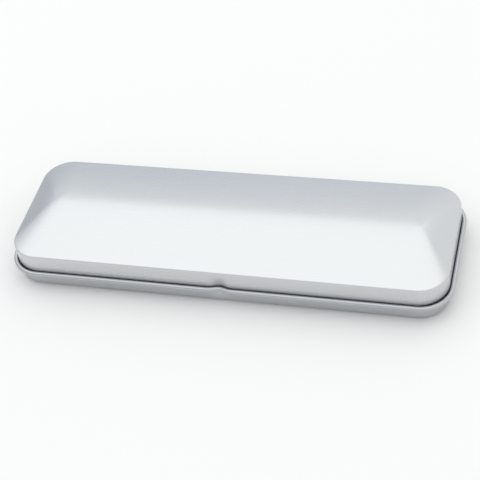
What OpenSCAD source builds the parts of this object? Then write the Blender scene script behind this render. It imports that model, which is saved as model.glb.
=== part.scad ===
// Hinged tin for coloured pencils. A drawn sheet-metal tray with an outward rolled rim carries a
// drawn lid with a low hipped dome. The lid's skirt drops inside the rim, and two wire pins in the
// rim's rear curl hold the lid's knuckles.
// Frame: X along the tin, Y towards its back, Z up. The origin is on the table, under the middle.

/* [Outline] */
// Length of the lid over its skirt
lid_l = 200; // [160:1:240]
// Width of the lid over its skirt
lid_w = 64.7; // [50:0.1:90]
// Radius of the lid's corners, seen from above
corner_r = 13.1; // [9:0.1:18]

/* [Heights] */
// Height of the rolled rim's centre above the table
rim_h = 9.1; // [6:0.1:16]
// Depth of the lid's skirt, from its shoulder to its hemmed edge
skirt_h = 9.95; // [6:0.05:16]
// Rise of the dome's ridge above the shoulder
dome_h = 6; // [3:0.1:12]

/* [Sheet] */
// Thickness of the sheet metal
sheet = 0.3; // [0.2:0.05:0.4]
// Outside radius between the tray's floor and wall
foot_r = 2.5; // [1:0.1:4]
// Outside radius of the lid's shoulder
shoulder_r = 0.6; // [0.5:0.05:1.5]
// Height of the hem folded inside the skirt's lower edge
hem_h = 2.4; // [1.2:0.1:4]
// Gap between the hemmed edge and the ledge it comes down on
seat_gap = 0.3; // [0.2:0.05:0.6]

/* [Rolled rim] */
// Outside radius of the curl
rim_r = 0.75; // [0.7:0.05:1]
// How far the curl stands outside the lid's skirt
rim_out = 2.25; // [2.2:0.05:4]
// Radius under the ledge that carries the curl
ledge_r = 0.4; // [0.2:0.05:0.6]
// Angle left open where the curl's edge comes round to the ledge
curl_slit = 40; // [20:5:60]

/* [Dome] */
// Length of the slope at each end, in plan
end_slope = 18; // [12:1:30]
// Softness of the ridge: 0.05 is a sharp roof, 1 is a round pillow
ridge_soft = 0.3; // [0.05:0.05:1]

/* [Thumb dimple] */
// Width of the dimple pressed into the front of the rim and skirt
dimple_w = 11; // [9:0.5:16]
// Depth of the dimple
dimple_d = 1.2; // [0.5:0.1:1.4]
// Height of the dimple in the skirt, above the hemmed edge
dimple_h = 3.2; // [2.5:0.1:5]

/* [Hinges] */
// Distance between the middles of the two hinges
hinge_span = 100; // [70:1:120]
// Width of each knuckle on the lid
knuckle_w = 12; // [8:0.5:20]
// Side gap between a knuckle and the ends of the cut rim
knuckle_gap = 0.3; // [0.2:0.05:0.6]
// Length of each pin that lies inside the curl, on either side of its knuckle
pin_hold = 6; // [3:0.5:12]
// Radial play of a pin inside the curl that grips it
pin_play = 0.03; // [0.02:0.01:0.05]
// Radial running clearance of a knuckle on its pin
pin_clear = 0.04; // [0.02:0.01:0.08]

/* [Hidden] */
$fn = 72;

// Places across the wall are offsets from the outer face of the skirt, outwards positive.
rim_off = rim_out - rim_r;
ledge_z = rim_h - rim_r;
edge_z = ledge_z + sheet + seat_gap;
shoulder_z = edge_z + skirt_h;
pin_r = rim_r - sheet - pin_play;
knuckle_in = pin_r + pin_clear;
knuckle_out = knuckle_in + sheet;
axis_y = lid_w / 2 + rim_off;
window_w = knuckle_w + 2 * knuckle_gap;
window_off = rim_off - knuckle_out - knuckle_gap;
hinge_x = hinge_span / 2;

// Angles in the profile, whose outside is to the right. The curl's slit ends just short of straight
// down, beside the ledge, and the knuckle's slit starts just above level, on the skirt's side.
curl_slit_end = 265;
knuckle_slit = 30;
knuckle_slit_start = 170;

// The rim is cut away in a window of this height, from this level, to let each knuckle through.
window_z = ledge_z - rim_r;
window_h = 4 * rim_r;

// The dimple is three tangent arcs of one radius: in, across and out again.
dimple_a = 2 * atan(2 * dimple_d / dimple_w);
dimple_r = dimple_w / (4 * sin(dimple_a));
dimple_steps = 16;

// The dome is a stack of rounded rings from the shoulder to the ridge. It starts a little way in on
// the shoulder's flat, and its first ring is sunk in that flat. The ridge is a narrow strip.
dome_rings = 12;
corner_steps = 8;
shoulder_flat = 0.15;
dome_in = shoulder_r + shoulder_flat;
dome_sink = 0.06;
ridge_half = 0.4;

tin = [0.78, 0.79, 0.8];
wire = [0.62, 0.63, 0.65];

// Part of a round tube wall, leaving out the wedge between two angles.
module open_ring(outer, inner, gap_from, gap_to) {
    reach = 2 * outer;
    mid = (gap_from + gap_to) / 2;
    difference() {
        circle(outer);
        circle(inner);
        polygon([
            [0, 0],
            [reach * cos(gap_from), reach * sin(gap_from)],
            [reach * cos(mid), reach * sin(mid)],
            [reach * cos(gap_to), reach * sin(gap_to)]
        ]);
    }
}

// A quarter of a round tube wall, in the quadrant that the two signs name.
module quarter_ring(outer, inner, side_x, side_y) {
    intersection() {
        difference() {
            circle(outer);
            circle(inner);
        }
        translate([side_x < 0 ? -outer : 0, side_y < 0 ? -outer : 0]) square(outer);
    }
}

// One long side, lying on the line of the outer face, from x_from to x_to, facing +Y.
module side_run(x_from, x_to, half_w) {
    translate([x_from, half_w, 0]) rotate([90, 0, 90]) linear_extrude(x_to - x_from) children();
}

// The four corners and two ends of the outline.
module corners_and_ends() {
    half_l = lid_l / 2;
    half_w = lid_w / 2;
    turn_x = half_l - corner_r;
    turn_y = half_w - corner_r;
    for (corner = [[1, 1, 0], [-1, 1, 90], [-1, -1, 180], [1, -1, 270]])
        translate([corner[0] * turn_x, corner[1] * turn_y, 0])
            rotate(corner[2])
                rotate_extrude(angle = 90) translate([corner_r, 0]) children();
    for (turn = [90, 270]) rotate(turn) side_run(-turn_y, turn_y, half_l) children();
}

// The drawn profile taken straight round the whole outline.
module plain_round() {
    turn_x = lid_l / 2 - corner_r;
    corners_and_ends() children();
    for (turn = [0, 180]) rotate(turn) side_run(-turn_x, turn_x, lid_w / 2) children();
}

// The front stretch that is pressed in at its middle.
module dimple_run() {
    half_w = lid_w / 2;
    for (hand = [0, 1])
        mirror([hand, 0, 0])
            translate([-dimple_w / 2, dimple_r - half_w, 0])
                rotate(-90) rotate_extrude(angle = dimple_a) translate([dimple_r, 0]) children();
    translate([0, dimple_d - dimple_r - half_w, 0])
        rotate(90 - dimple_a)
            rotate_extrude(angle = 2 * dimple_a)
                translate([dimple_r, 0]) mirror([1, 0]) children();
}

// The profile taken round the outline, leaving out the width of the dimple at the front.
module open_front_round() {
    turn_x = lid_l / 2 - corner_r;
    corners_and_ends() children();
    side_run(-turn_x, turn_x, lid_w / 2) children();
    rotate(180) {
        side_run(-turn_x, -dimple_w / 2, lid_w / 2) children();
        side_run(dimple_w / 2, turn_x, lid_w / 2) children();
    }
}

// The profile taken round the outline, with the dimple in its front side.
module dimpled_round() {
    open_front_round() children();
    dimple_run() children();
}

module rounded_plate(l, w, r) {
    square([l, w - 2 * r], center = true);
    square([l - 2 * r, w], center = true);
    for (x = [-1, 1], y = [-1, 1])
        translate([x * (l / 2 - r), y * (w / 2 - r)]) circle(r);
}

// Wall of the tray, with the round foot below it and the bend that starts the ledge above it.
module tray_wall_profile() {
    translate([-foot_r, foot_r]) quarter_ring(foot_r, foot_r - sheet, 1, -1);
    translate([-sheet, foot_r]) square([sheet, ledge_z - ledge_r - foot_r]);
    translate([ledge_r, ledge_z - ledge_r]) quarter_ring(ledge_r + sheet, ledge_r, -1, 1);
}

// Ledge that runs outwards under the skirt, and the curl rolled up from it.
module rim_profile() {
    translate([ledge_r, ledge_z]) square([rim_off - ledge_r, sheet]);
    translate([rim_off, rim_h]) open_ring(rim_r, rim_r - sheet, curl_slit_end - curl_slit, curl_slit_end);
}

// Inner part of the ledge where the dimple pushes the rim back over the wall.
module dimple_shelf() {
    half_w = lid_w / 2;
    translate([-dimple_w / 2, -half_w - ledge_r, ledge_z])
        cube([dimple_w, dimple_d + ledge_r + sheet, sheet]);
}

module base_tray() {
    color(tin) difference() {
        union() {
            linear_extrude(sheet)
                rounded_plate(lid_l - 2 * foot_r, lid_w - 2 * foot_r, corner_r - foot_r);
            plain_round() tray_wall_profile();
            dimpled_round() rim_profile();
            dimple_shelf();
        }
        for (side = [-1, 1])
            translate([side * hinge_x - window_w / 2, lid_w / 2 + window_off, window_z])
                cube([window_w, rim_out, window_h]);
    }
}

// Skirt above the dimple, with the bend of the shoulder and the flat edge that the dome grows from.
module skirt_profile() {
    band_z = edge_z + dimple_h;
    translate([-sheet, band_z]) square([sheet, shoulder_z - shoulder_r - band_z]);
    translate([-shoulder_r, shoulder_z - shoulder_r])
        quarter_ring(shoulder_r, shoulder_r - sheet, 1, 1);
    translate([-2 * shoulder_r, shoulder_z - sheet]) square([shoulder_r, sheet]);
}

// Lower band of the skirt, with the hem folded up inside it.
module hem_profile() {
    translate([-sheet, edge_z + sheet]) square([sheet, dimple_h - sheet]);
    translate([-2 * sheet, edge_z + sheet]) square([sheet, hem_h - sheet]);
    translate([-sheet, edge_z + sheet]) circle(sheet);
}

// How far the dimple has moved the front face back, at a distance x from its middle.
function dimple_depth(x) =
    abs(x) < dimple_w / 4
        ? dimple_d - dimple_r + sqrt(pow(dimple_r, 2) - pow(x, 2))
        : dimple_r - sqrt(pow(dimple_r, 2) - pow(dimple_w / 2 - abs(x), 2));

// Plan of a strip along the dimple, from the face line (or the pressed line) to a depth behind it.
module dimple_strip(depth, pressed) {
    xs = [for (step = [0 : dimple_steps]) dimple_w * (step / dimple_steps - 0.5)];
    front = [for (x = xs) [x, -lid_w / 2 + (pressed ? dimple_depth(x) : 0)]];
    back = [for (i = [dimple_steps : -1 : 0]) [xs[i], -lid_w / 2 + dimple_depth(xs[i]) + depth]];
    polygon(concat(front, back));
}

// The dimple in the skirt: the pressed sheet, its hem, and the flat web that closes its top.
module skirt_dimple() {
    translate([0, 0, edge_z]) {
        linear_extrude(hem_h) dimple_strip(2 * sheet, true);
        linear_extrude(dimple_h) dimple_strip(sheet, true);
        translate([0, 0, dimple_h - sheet]) linear_extrude(sheet) dimple_strip(sheet, false);
    }
}

// Rolled knuckle and the tongue that carries it, cut from the lid's rear skirt.
module knuckle_profile() {
    translate([rim_off, rim_h])
        open_ring(knuckle_out, knuckle_in, knuckle_slit_start, knuckle_slit_start + knuckle_slit);
    translate([-sheet / 2, rim_h + knuckle_in]) square([rim_off + sheet / 2, sheet]);
}

// Height of the dome at a share of the way from the shoulder to the ridge.
function dome_rise(share) =
    dome_h * (1 - (sqrt(pow(1 - share, 2) + pow(ridge_soft, 2)) - ridge_soft)
        / (sqrt(1 + pow(ridge_soft, 2)) - ridge_soft));

// One ring of points, with round corners, anticlockwise from above.
function ring(half_l, half_w, r, z) = [
    for (corner = [[1, 1, 0], [-1, 1, 90], [-1, -1, 180], [1, -1, 270]])
        for (step = [0 : corner_steps])
            let (a = corner[2] + 90 * step / corner_steps)
            [corner[0] * (half_l - r) + r * cos(a), corner[1] * (half_w - r) + r * sin(a), z]
];

function dome_ring(index, drop) =
    let (
        share = index / dome_rings,
        start_w = lid_w / 2 - dome_in,
        half_w = ridge_half + (start_w - ridge_half) * (1 - share),
        half_l = lid_l / 2 - dome_in - (end_slope - dome_in) * share,
        r = max((corner_r - dome_in) * (1 - share), ridge_half),
        sink = index == 0 ? dome_sink : 0,
        lift = index == 0 ? sheet - 2 * dome_sink : sheet
    )
    ring(half_l, half_w, r, shoulder_z + dome_rise(share) - sink - (drop ? lift : 0));

module dome() {
    rings = [
        for (index = [dome_rings : -1 : 0]) dome_ring(index, true),
        for (index = [0 : dome_rings]) dome_ring(index, false)
    ];
    count = len(rings[0]);
    last = len(rings) - 1;
    points = [for (row = rings) for (point = row) point];
    walls = [
        for (i = [0 : last - 1]) for (j = [0 : count - 1])
            let (k = (j + 1) % count, low = i * count, high = (i + 1) * count)
            each [[low + j, high + j, high + k], [low + j, high + k, low + k]]
    ];
    start_cap = [for (j = [0 : count - 1]) j];
    end_cap = [for (j = [count - 1 : -1 : 0]) last * count + j];
    polyhedron(points, concat([start_cap, end_cap], walls));
}

module lid_shell() {
    color(tin) {
        dome();
        plain_round() skirt_profile();
        open_front_round() hem_profile();
        skirt_dimple();
        for (side = [-1, 1])
            side_run(side * hinge_x - knuckle_w / 2, side * hinge_x + knuckle_w / 2, lid_w / 2)
                knuckle_profile();
    }
}

module hinge_pin(side) {
    pin_l = window_w + 2 * pin_hold;
    color(wire)
        translate([side * hinge_x - pin_l / 2, axis_y, rim_h])
            rotate([0, 90, 0]) cylinder(r = pin_r, h = pin_l);
}

module hinge_pin_left() { hinge_pin(-1); }
module hinge_pin_right() { hinge_pin(1); }

base_tray();
lid_shell();
hinge_pin_left();
hinge_pin_right();
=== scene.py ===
import math

import bmesh
import bpy
from mathutils import Matrix, Vector


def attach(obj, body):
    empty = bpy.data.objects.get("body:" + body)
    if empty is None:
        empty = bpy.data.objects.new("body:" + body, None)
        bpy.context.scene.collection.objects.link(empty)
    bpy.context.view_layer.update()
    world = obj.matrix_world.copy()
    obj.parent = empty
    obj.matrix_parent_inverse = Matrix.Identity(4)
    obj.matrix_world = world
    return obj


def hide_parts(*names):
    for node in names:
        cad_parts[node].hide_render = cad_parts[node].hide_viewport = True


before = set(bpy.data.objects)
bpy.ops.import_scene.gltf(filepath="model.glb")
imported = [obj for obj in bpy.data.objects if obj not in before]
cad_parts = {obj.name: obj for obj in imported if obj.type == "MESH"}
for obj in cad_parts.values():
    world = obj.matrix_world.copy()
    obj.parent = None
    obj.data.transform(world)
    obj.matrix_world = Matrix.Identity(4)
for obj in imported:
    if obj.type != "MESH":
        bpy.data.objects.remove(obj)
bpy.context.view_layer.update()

# The camera looks down on the closed tin from in front and to its right, tilted so that
# the tin runs downhill across the picture.
MM = 0.001
shoulder_z = 18.9 * MM
camera_turn = math.radians(21.15)
camera_height = math.radians(44.62)
camera_roll = math.radians(-10.53)
camera_distance = 595.56 * MM
camera_slide_right = 2.89 * MM
camera_slide_up = -8.47 * MM
picture_px = 480
focal_px = 1315.9
sensor_width = 36.0

camera_back = Vector((
    math.sin(camera_turn) * math.cos(camera_height),
    -math.cos(camera_turn) * math.cos(camera_height),
    math.sin(camera_height),
))
level_right = (-camera_back).cross(Vector((0, 0, 1))).normalized()
level_up = level_right.cross(-camera_back)
camera_right = level_right * math.cos(camera_roll) + level_up * math.sin(camera_roll)
camera_up = level_up * math.cos(camera_roll) - level_right * math.sin(camera_roll)

camera_data = bpy.data.cameras.new("camera")
camera_data.sensor_fit = "HORIZONTAL"
camera_data.sensor_width = sensor_width
camera_data.lens = sensor_width * focal_px / picture_px
camera = bpy.data.objects.new("camera", camera_data)
camera.location = (
    Vector((0, 0, shoulder_z))
    + camera_back * camera_distance
    + camera_right * camera_slide_right
    + camera_up * camera_slide_up
)
camera.rotation_mode = "QUATERNION"
camera.rotation_quaternion = Matrix((camera_right, camera_up, camera_back)).transposed().to_quaternion()
bpy.context.collection.objects.link(camera)
bpy.context.scene.camera = camera
bpy.context.scene.view_settings.view_transform = "Standard"

# The studio is a pale table under one wide overhead softbox, in a white room that dims towards
# the horizon. The table shows nearly white and keeps the tin's soft shadow.
brightest_way = Vector((0.25, 0.1, 0.96)).normalized()
room_shades = [
    (0.0, (0.52, 0.54, 0.57)),
    (0.30, (0.86, 0.91, 0.98)),
    (0.42, (0.93, 0.96, 1.00)),
    (0.55, (0.97, 0.99, 1.00)),
    (0.80, (0.98, 1.00, 1.00)),
]
table_size = 3.0
table_colour = (0.89, 0.882, 0.872, 1)
table_roughness = 0.9
softbox_size = 2.8
softbox_power = 10.6
softbox_place = (-0.5, 0.6, 1.9)


class Signal:
    """A node's output, which can be used in sums like a number."""

    def __init__(self, shader, socket):
        self.shader = shader
        self.socket = socket

    def worked(self, operation, *terms):
        return self.shader.node("ShaderNodeMath", {"operation": operation}, dict(enumerate(terms)))

    def __add__(self, other):
        return self.worked("ADD", self, other)

    def __sub__(self, other):
        return self.worked("SUBTRACT", self, other)

    def __rsub__(self, other):
        return self.worked("SUBTRACT", other, self)

    def __mul__(self, other):
        return self.worked("MULTIPLY", self, other)

    def __abs__(self):
        return self.worked("ABSOLUTE", self)

    __radd__ = __add__
    __rmul__ = __mul__


class Shader:
    """The emptied node tree of a material or world, with the one way to add a node to it."""

    def __init__(self, owner):
        owner.use_nodes = True
        self.owner = owner
        self.tree = owner.node_tree
        self.tree.nodes.clear()

    def node(self, kind, settings=None, sockets=None, output=0):
        """Adds a node. Its settings come first, then the value or link of each socket."""
        made = self.tree.nodes.new(kind)
        for name, value in (settings or {}).items():
            if name == "stops":
                self.set_stops(made.color_ramp.elements, value)
            else:
                setattr(made, name, value)
        for name, value in (sockets or {}).items():
            if isinstance(value, Signal):
                self.tree.links.new(value.socket, made.inputs[name])
            else:
                made.inputs[name].default_value = value
        return Signal(self, made.outputs[output]) if made.outputs else None

    @staticmethod
    def set_stops(stops, wanted):
        while len(stops) < len(wanted):
            stops.new(1.0)
        for stop, (place, colour) in zip(stops, wanted):
            stop.position = place
            stop.color = (*colour, 1.0)

    def mix(self, factor, first, second):
        """Mixes two colours, which are sockets 6 and 7 of a Mix node and leave it by output 2."""
        return self.node(
            "ShaderNodeMix", {"data_type": "RGBA"}, {0: factor, 6: first, 7: second}, output=2
        )


world = bpy.data.worlds.new("studio_room")
bpy.context.scene.world = world
room = Shader(world)
direction = room.node("ShaderNodeTexCoord", output="Generated")
nearness = room.node(
    "ShaderNodeVectorMath", {"operation": "DOT_PRODUCT"}, {0: direction, 1: brightest_way}, output="Value"
)
walls = room.node("ShaderNodeValToRGB", {"stops": room_shades}, {0: nearness})
room_light = room.node("ShaderNodeBackground", sockets={"Color": walls, "Strength": 1.0})
room.node("ShaderNodeOutputWorld", sockets={"Surface": room_light})

table_mesh = bpy.data.meshes.new("table")
bm = bmesh.new()
bmesh.ops.create_grid(bm, x_segments=1, y_segments=1, size=table_size / 2)
bm.to_mesh(table_mesh)
bm.free()
table = bpy.data.objects.new("table", table_mesh)
bpy.context.collection.objects.link(table)

table_finish = Shader(bpy.data.materials.new("white_table"))
table_paint = table_finish.node(
    "ShaderNodeBsdfPrincipled", sockets={"Base Color": table_colour, "Roughness": table_roughness}
)
table_finish.node("ShaderNodeOutputMaterial", sockets={"Surface": table_paint})
table_mesh.materials.append(table_finish.owner)

softbox_data = bpy.data.lights.new("overhead_softbox", "AREA")
softbox_data.shape = "RECTANGLE"
softbox_data.size = softbox_size
softbox_data.size_y = softbox_size
softbox_data.energy = softbox_power
softbox = bpy.data.objects.new("overhead_softbox", softbox_data)
softbox.location = softbox_place
bpy.context.collection.objects.link(softbox)

# The tray is one sheet of tinplate, drawn to a flat floor, a round foot and a wall. At the top
# the sheet turns outwards in a ledge and is rolled up and over into the rim. The rim is pressed
# in at the front for the thumb, and cut open at the back for the lid's two knuckles.
half_l = 100 * MM
half_w = 32.35 * MM
sheet = 0.28 * MM
tray_corner_r = 12.7 * MM
foot_r = 3.0 * MM
wall_rings = (5.0 * MM, 6.4 * MM)
rim_r = 1.075 * MM
rim_off = 1.175 * MM
rim_z = 8.875 * MM
rim_turn = 310
ledge_r = 0.3 * MM
ledge_z = rim_z - rim_r
dimple_half = 5.5 * MM
rim_dimple = 1.05 * MM
rim_dimple_heights = (3 * MM, 7.8 * MM, 10 * MM, 12 * MM)
hinge_x = 50 * MM
knuckle_half = 6 * MM
window_half = 6.3 * MM
window_off = 0.3 * MM

# The steps of each bend and run, how near points are joined or count as level, and the angle
# from which an edge is drawn sharp.
foot_steps = 12
ledge_steps = 5
rim_steps = 28
dimple_steps = 11
corner_steps = 20
end_steps = 6
weld = 0.002 * MM
touching = 0.01 * MM
crease = math.radians(50)

# The profile stands at these places along the front, close together at the dimple and hinges.
columns = [
    *(dimple_half * step / dimple_steps for step in range(1, dimple_steps + 2)),
    *(place * MM for place in (8, 11, 15, 20, 26, 32, 38)),
    *(hinge_x + edge for edge in (-window_half, -knuckle_half, 0, knuckle_half, window_half)),
    *(place * MM for place in (60, 65, 70, 75, 79, 83)),
]


def points_in(parts):
    return [part for part in parts if isinstance(part, bmesh.types.BMVert)]


def edges_in(parts):
    return [part for part in parts if isinstance(part, bmesh.types.BMEdge)]


def line_to(bm, start, offset, z):
    """Carries a profile on in a straight line, to an offset from the skirt's face and a height."""
    end = bmesh.ops.extrude_vert_indiv(bm, verts=[start])["verts"][0]
    end.co = (start.co.x, -half_w - offset, z)
    return end


def bend(bm, start, centre_offset, centre_z, turn, steps):
    """Carries a profile on round a bend, by a turn in degrees.

    A positive turn rolls it from below outwards and up.
    """
    spun = bmesh.ops.spin(
        bm,
        geom=[start],
        cent=(start.co.x, -half_w - centre_offset, centre_z),
        axis=(1, 0, 0),
        angle=-math.radians(turn),
        steps=steps,
    )
    return points_in(spun["geom_last"])[0]


def draw_out(bm, parts, step):
    """Extrudes a run of edges by a step, and gives back the points and edges of the new run."""
    grown = bmesh.ops.extrude_edge_only(bm, edges=edges_in(parts))["geom"]
    points = points_in(grown)
    bmesh.ops.translate(bm, vec=step, verts=points)
    fresh = set(points)
    return points + [edge for edge in edges_in(grown) if fresh.issuperset(edge.verts)]


def sweep_round(bm, corner_r):
    """Sweeps the profile from the front's middle to an end's middle, then mirrors it both ways."""
    run = [*bm.verts, *bm.edges]
    here = 0.0
    for column in [*columns, half_l - corner_r]:
        run = draw_out(bm, run, (column - here, 0, 0))
        here = column
    run = bmesh.ops.spin(
        bm,
        geom=run,
        cent=(half_l - corner_r, corner_r - half_w, 0),
        axis=(0, 0, 1),
        angle=math.radians(90),
        steps=corner_steps,
    )["geom_last"]
    for _ in range(end_steps):
        run = draw_out(bm, run, (0, (half_w - corner_r) / end_steps, 0))
    for axis in ("X", "Y"):
        bmesh.ops.mirror(bm, geom=[*bm.verts, *bm.edges, *bm.faces], axis=axis, merge_dist=weld)
    bmesh.ops.remove_doubles(bm, verts=bm.verts, dist=weld)


def press_dimple(bm, depth, heights):
    """Presses the front of a drawn shell in at its middle.

    The heights are where the press starts, where it is full, until where, and where it ends.
    """
    lowest, full_from, full_to, highest = heights
    for vert in bm.verts:
        x, y, z = vert.co
        if y > -half_w / 2 or abs(x) >= dimple_half or not lowest < z < highest:
            continue
        rise = min((z - lowest) / (full_from - lowest), (highest - z) / (highest - full_to), 1.0)
        smooth = rise * rise * (3 - 2 * rise)
        vert.co.y += depth * smooth * (0.5 + 0.5 * math.cos(math.pi * x / dimple_half))


def cut_windows(bm, behind, below=math.inf):
    """Cuts the two hinge windows out of a drawn shell, behind a line and below a height."""
    cut = []
    for face in bm.faces:
        x, y, z = face.calc_center_median()
        if y > behind and z < below and abs(abs(x) - hinge_x) < window_half:
            cut.append(face)
    bmesh.ops.delete(bm, geom=cut, context="FACES")


def finish_sheet(bm, name, open_side):
    """Gives the drawn skin its thickness, on the inside of its bends.

    The open side is 1 for a tray, which opens upwards, and -1 for a lid.
    """
    bmesh.ops.recalc_face_normals(bm, faces=bm.faces)
    outermost = min(bm.faces, key=lambda face: open_side * face.calc_center_median().z)
    if outermost.normal.z * open_side > 0:
        bmesh.ops.reverse_faces(bm, faces=bm.faces)
    bmesh.ops.solidify(bm, geom=bm.faces, thickness=sheet)
    mesh = bpy.data.meshes.new(name)
    bm.to_mesh(mesh)
    bm.free()
    mesh.shade_smooth()
    mesh.set_sharp_from_angle(angle=crease)
    piece = bpy.data.objects.new(name, mesh)
    bpy.context.collection.objects.link(piece)
    return piece


bm = bmesh.new()
tip = bm.verts.new((0, -half_w + foot_r, 0))
tip = bend(bm, tip, -foot_r, foot_r, 90, foot_steps)
for ring_z in (*wall_rings, ledge_z - ledge_r):
    tip = line_to(bm, tip, 0, ring_z)
tip = bend(bm, tip, ledge_r, ledge_z - ledge_r, -90, ledge_steps)
tip = line_to(bm, tip, window_off, ledge_z)
tip = line_to(bm, tip, rim_off, ledge_z)
bend(bm, tip, rim_off, rim_z, rim_turn, rim_steps)
sweep_round(bm, tray_corner_r)
floor_edges = [
    edge for edge in bm.edges
    if edge.is_boundary and max(vert.co.z for vert in edge.verts) < touching
]
bmesh.ops.edgeloop_fill(bm, edges=floor_edges)
press_dimple(bm, rim_dimple, rim_dimple_heights)
cut_windows(bm, half_w + window_off)
tray = finish_sheet(bm, "drawn_tray", 1)
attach(tray, "tray")
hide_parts("base_tray")

# The grain and the clouds are noise, counted per metre. Each makes the metal a little lighter or
# darker, and a little glossier or duller.
grain_per_m = 14
lanes_per_m = 4200
grain_detail = 1.5
grain_share = 0.6
grain_haze = 0.06
grain_depth = 0.01 * MM
grain_relief = 0.05
clouds_per_m = 22.0
cloud_detail = 3.0
cloud_haze = 0.10
shade_swing = 0.03
grain_turns_from = half_w - 2.4 * MM
grain_turns_to = half_w - 1.1 * MM


def tinplate(name, colour, roughness, bend_z):
    """Satin tinplate with a cloudy polish and a fine grain along the sheet.

    The grain follows the sheet where its two long walls are turned up or down, at bend_z.
    """
    finish = Shader(bpy.data.materials.new(name))
    place = finish.node("ShaderNodeTexCoord", output="Object")
    x, y, z = (
        finish.node("ShaderNodeSeparateXYZ", sockets={"Vector": place}, output=axis) for axis in "XYZ"
    )
    on_long_wall = finish.node(
        "ShaderNodeMapRange",
        sockets={"Value": abs(y), "From Min": grain_turns_from, "From Max": grain_turns_to},
    )
    across = y + (z - bend_z) * on_long_wall
    lane = finish.node("ShaderNodeCombineXYZ", sockets={"X": x * grain_per_m, "Y": across * lanes_per_m})
    grain = finish.node(
        "ShaderNodeTexNoise",
        {"noise_dimensions": "2D"},
        {"Vector": lane, "Scale": 1.0, "Detail": grain_detail},
    )
    cloud = finish.node(
        "ShaderNodeTexNoise",
        {"noise_dimensions": "3D"},
        {"Vector": place, "Scale": clouds_per_m, "Detail": cloud_detail},
    )
    shade = finish.mix(
        grain * grain_share + cloud * (1 - grain_share),
        (*((1 - shade_swing) * part for part in colour), 1),
        (*((1 + shade_swing) * part for part in colour), 1),
    )
    rough = roughness + (grain - 0.5) * grain_haze + (cloud - 0.5) * cloud_haze
    relief = finish.node(
        "ShaderNodeBump", sockets={"Strength": grain_relief, "Distance": grain_depth, "Height": grain}
    )
    skin = finish.node(
        "ShaderNodeBsdfPrincipled",
        sockets={"Base Color": shade, "Metallic": 1.0, "Roughness": rough, "Normal": relief},
    )
    finish.node("ShaderNodeOutputMaterial", sockets={"Surface": skin})
    return finish.owner


# The tray is the same tinplate as the lid, but its colour is set darker: painted shade for the shadowed
# table that its wall mirrors near the foot.
tray_colour_painted_shade = (0.50, 0.51, 0.52)
tray_roughness = 0.22
tray.data.materials.append(tinplate("tray_tinplate", tray_colour_painted_shade, tray_roughness, 0))

# The lid is one sheet too: a low dome with a hipped end at either side, a crisp shoulder and a
# straight skirt, whose lower edge is folded up inside as a hem. At the back two tongues of the
# same sheet turn out into the windows in the rim and are rolled round the hinge pins.
lid_corner_r = 13.1 * MM
shoulder_r = 0.6 * MM
shoulder_turn = 74
edge_z = 8.85 * MM
hem_r = 0.3 * MM
hem_h = 2.4 * MM
skirt_ring_z = 11.4 * MM
skirt_ring_gap = 1.2 * MM
skirt_rings = 5
skirt_dimple = 1.05 * MM
skirt_dimple_heights = (7 * MM, 8 * MM, 9.3 * MM, 18.2 * MM)
dome_h = 6 * MM
end_slope = 18 * MM
hip_r = 5 * MM
ridge_soft = 0.5
hinge_off = 1.5 * MM
hinge_z = 9.1 * MM
knuckle_out = 0.76 * MM
knuckle_turn = 250
tongue_r = 0.35 * MM
tongue_z = hinge_z + knuckle_out
root_z = tongue_z + tongue_r

hem_steps = 8
shoulder_steps = 6
dome_rings = 28
tongue_steps = 5
knuckle_steps = 24

bm = bmesh.new()
tip = bm.verts.new((0, -half_w + 2 * hem_r, edge_z + hem_h))
tip = line_to(bm, tip, -2 * hem_r, edge_z + hem_r)
tip = bend(bm, tip, -hem_r, edge_z + hem_r, 180, hem_steps)
tip = line_to(bm, tip, 0, root_z)
for ring in range(skirt_rings):
    tip = line_to(bm, tip, 0, skirt_ring_z + ring * skirt_ring_gap)
tip = line_to(bm, tip, 0, shoulder_z - shoulder_r)
tip = bend(bm, tip, -shoulder_r, shoulder_z - shoulder_r, shoulder_turn, shoulder_steps)
ring_drop = shoulder_z - tip.co.z
ring_in = half_w + tip.co.y
sweep_round(bm, lid_corner_r)


def dome_rise(share):
    """Height of the dome at a share of the way from the shoulder to the ridge."""
    full = math.hypot(1, ridge_soft) - ridge_soft
    return dome_h * (1 - (math.hypot(1 - share, ridge_soft) - ridge_soft) / full)


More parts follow.
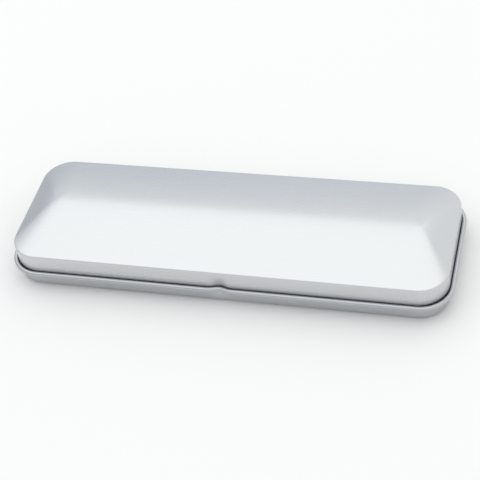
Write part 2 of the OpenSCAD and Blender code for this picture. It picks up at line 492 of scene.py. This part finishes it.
def dome_place(start, share):
    """Where a point of the shoulder ring comes to, at a share of the way to the ridge."""
    turn_x = half_l - lid_corner_r
    turn_y = half_w - lid_corner_r
    turn_r = lid_corner_r - ring_in
    centre = Vector((max(-turn_x, min(turn_x, start.x)), max(-turn_y, min(turn_y, start.y))))
    outwards = (start.xy - centre) / turn_r
    reach_x = turn_x + turn_r + (half_l - end_slope - turn_x - turn_r) * share
    reach_y = (turn_y + turn_r) * (1 - share)
    hip = min(turn_r + (hip_r - turn_r) * share, reach_y)
    x = centre.x / turn_x * (reach_x - hip) + outwards.x * hip
    y = centre.y / turn_y * (reach_y - hip) + outwards.y * hip
    return Vector((x, y, shoulder_z - ring_drop * (1 - share) + dome_rise(share)))


loop = [
    edge for edge in bm.edges
    if edge.is_boundary and min(vert.co.z for vert in edge.verts) > shoulder_z - ring_drop - touching
]
starts = {vert: vert.co.copy() for edge in loop for vert in edge.verts}
for ring in range(1, dome_rings + 1):
    loop = draw_out(bm, loop, (0, 0, 0))
    starts = {
        vert: starts[edge.other_vert(vert)]
        for vert in points_in(loop) for edge in vert.link_edges
        if edge.other_vert(vert) in starts
    }
    for vert, start in starts.items():
        vert.co = dome_place(start, ring / dome_rings)
bmesh.ops.remove_doubles(bm, verts=bm.verts, dist=touching)
press_dimple(bm, skirt_dimple, skirt_dimple_heights)

cut_windows(bm, half_w - 3 * hem_r, root_z)
root = [
    vert for vert in bm.verts
    if abs(vert.co.z - root_z) < touching
    and vert.co.y > half_w - touching
    and abs(abs(vert.co.x) - hinge_x) < knuckle_half + touching
]
root += [edge for edge in bm.edges if all(vert in root for vert in edge.verts)]
tongues = bmesh.ops.spin(
    bm,
    geom=root,
    cent=(0, half_w + tongue_r, root_z),
    axis=(1, 0, 0),
    angle=math.radians(90),
    steps=tongue_steps,
)["geom_last"]
tongues = draw_out(bm, tongues, (0, hinge_off - tongue_r, 0))
bmesh.ops.spin(
    bm,
    geom=tongues,
    cent=(0, half_w + hinge_off, hinge_z),
    axis=(1, 0, 0),
    angle=-math.radians(knuckle_turn),
    steps=knuckle_steps,
)
lid = finish_sheet(bm, "drawn_lid", -1)
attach(lid, "lid")
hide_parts("lid_shell")

lid_colour = (0.635, 0.643, 0.65)
lid_roughness = 0.28
lid.data.materials.append(tinplate("lid_tinplate", lid_colour, lid_roughness, shoulder_z))

# Each hinge turns on a short straight steel wire, pushed along the hollow of the rim and
# through the lid's knuckle.
wire_colour = (0.60, 0.60, 0.62)
wire_roughness = 0.3
pin_finish = tinplate("pin_wire", wire_colour, wire_roughness, 0)
for node in ("hinge_pin_left", "hinge_pin_right"):
    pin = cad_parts[node]
    for held in pin.material_slots:
        held.material = pin_finish
